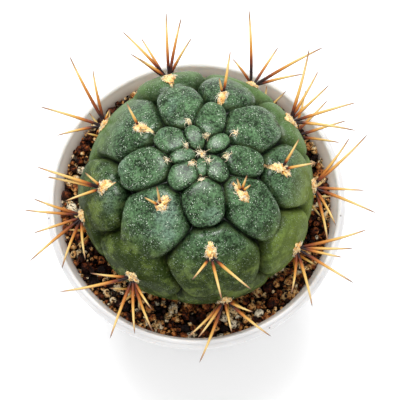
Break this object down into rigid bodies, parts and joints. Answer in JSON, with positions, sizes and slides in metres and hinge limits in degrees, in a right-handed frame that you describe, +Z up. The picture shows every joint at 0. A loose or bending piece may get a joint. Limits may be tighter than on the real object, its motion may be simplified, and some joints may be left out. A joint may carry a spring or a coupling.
{
  "type": "potted round cactus",
  "caption": "Round ribbed cactus with pillow-shaped tubercles and radiating spines, growing in brown grit in a small round tapered plastic pot.",
  "frame": {"origin": "centre of the pot's underside, on the surface that the pot stands on", "axes": "+Z up along the pot's axis; the picture looks down from the -Y side, with +X to its right"},
  "size_m": [0.1017, 0.1018, 0.1181],
  "materials": {
    "pot_plastic": "satin",
    "grit_soil": "matte",
    "cactus_skin": "satin",
    "spines": "satin",
    "wool": "matte"
  },
  "bodies": {
    "root": {"pot": "pot_plastic", "soil": "grit_soil", "cactus_body": "cactus_skin", "crown_wool": "wool", "wool_tuft_a1": "wool", "wool_tuft_b1": "wool", "wool_tuft_c1": "wool", "wool_tuft_d1": "wool", "wool_tuft_e1": "wool", "wool_tuft_f1": "wool", "wool_tuft_g1": "wool", "wool_tuft_h1": "wool", "wool_tuft_i1": "wool", "areole_a2": "spines", "areole_a3": "spines", "areole_a4": "spines", "areole_b2": "spines", "areole_b3": "spines", "areole_b4": "spines", "areole_c2": "spines", "areole_c3": "spines", "areole_c4": "spines", "areole_d2": "spines", "areole_d3": "spines", "areole_d4": "spines", "areole_e2": "spines", "areole_e3": "spines", "areole_e4": "spines", "areole_f2": "spines", "areole_f3": "spines", "areole_f4": "spines", "areole_g2": "spines", "areole_g3": "spines", "areole_g4": "spines", "areole_h2": "spines", "areole_h3": "spines", "areole_h4": "spines", "areole_i2": "spines", "areole_i3": "spines", "areole_i4": "spines"}
  },
  "joints": []
}
